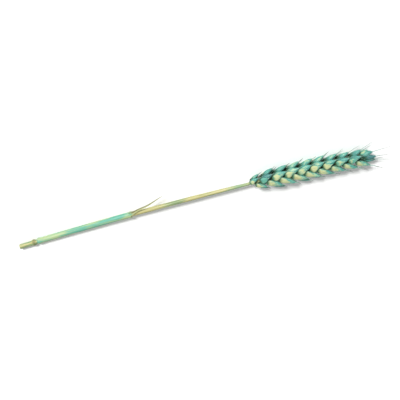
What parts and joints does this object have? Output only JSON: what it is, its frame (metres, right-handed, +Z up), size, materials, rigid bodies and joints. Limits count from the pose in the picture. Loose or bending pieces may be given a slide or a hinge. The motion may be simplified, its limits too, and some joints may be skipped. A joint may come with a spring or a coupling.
{
  "type": "wheat ear",
  "caption": "Single dyed wheat ear lying on its own cut straw: two rows of overlapping spikelets with short awns, a bare neck, and a flag leaf's sheath and dried blade.",
  "frame": {"origin": "middle of the bounding box in X and Y, on the surface that the ear lies on", "axes": "+X from the cut end of the straw to the tip of the ear, +Z up, +Y to the left of the ear seen from above"},
  "size_m": [0.2634, 0.0214, 0.014],
  "materials": {
    "straw": "satin",
    "flag_leaf": "satin",
    "glume": "satin",
    "floret": "satin"
  },
  "bodies": {
    "root": {"straw": "straw", "flag_leaf": "flag_leaf", "spikelet_01_florets": "floret", "spikelet_01_glumes": "glume", "spikelet_02_florets": "floret", "spikelet_02_glumes": "glume", "spikelet_03_florets": "floret", "spikelet_03_glumes": "glume", "spikelet_04_florets": "floret", "spikelet_04_glumes": "glume", "spikelet_05_florets": "floret", "spikelet_05_glumes": "glume", "spikelet_06_florets": "floret", "spikelet_06_glumes": "glume", "spikelet_07_florets": "floret", "spikelet_07_glumes": "glume", "spikelet_08_florets": "floret", "spikelet_08_glumes": "glume", "spikelet_09_florets": "floret", "spikelet_09_glumes": "glume", "spikelet_10_florets": "floret", "spikelet_10_glumes": "glume", "spikelet_11_florets": "floret", "spikelet_11_glumes": "glume", "spikelet_12_florets": "floret", "spikelet_12_glumes": "glume", "spikelet_13_florets": "floret", "spikelet_13_glumes": "glume", "spikelet_14_florets": "floret", "spikelet_14_glumes": "glume", "spikelet_15_florets": "floret", "spikelet_15_glumes": "glume", "spikelet_16_florets": "floret", "spikelet_16_glumes": "glume", "spikelet_17_florets": "floret", "spikelet_17_glumes": "glume", "spikelet_18_florets": "floret", "spikelet_18_glumes": "glume", "tip_spikelet_florets": "floret", "tip_spikelet_glumes": "glume"}
  },
  "joints": []
}
